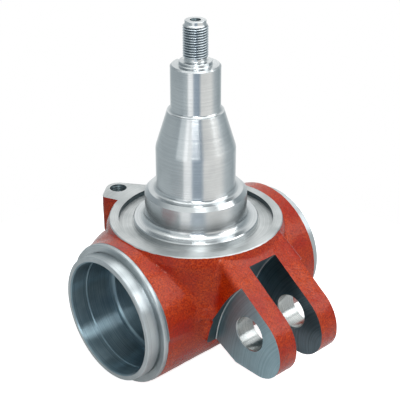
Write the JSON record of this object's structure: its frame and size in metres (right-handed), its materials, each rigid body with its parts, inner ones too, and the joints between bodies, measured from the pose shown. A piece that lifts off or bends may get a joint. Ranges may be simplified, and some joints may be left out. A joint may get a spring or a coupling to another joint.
{
  "type": "steering knuckle",
  "caption": "Forged steering knuckle with a king-pin hub barrel, a stepped wheel spindle with a threaded end, a link clevis and a stop lug.",
  "frame": {"origin": "where the spindle's axis meets the king-pin axis, in the middle of the hub barrel", "axes": "+Z along the spindle towards its threaded end, X along the king-pin bore, -Y towards the link clevis, +Y towards the stop lug"},
  "size_m": [0.194, 0.226, 0.287],
  "materials": {
    "forging": "oxide-red primer on the forged skin, bare turned and milled steel on the worked surfaces"
  },
  "bodies": {
    "root": {"steering_knuckle": "forging"}
  },
  "joints": []
}
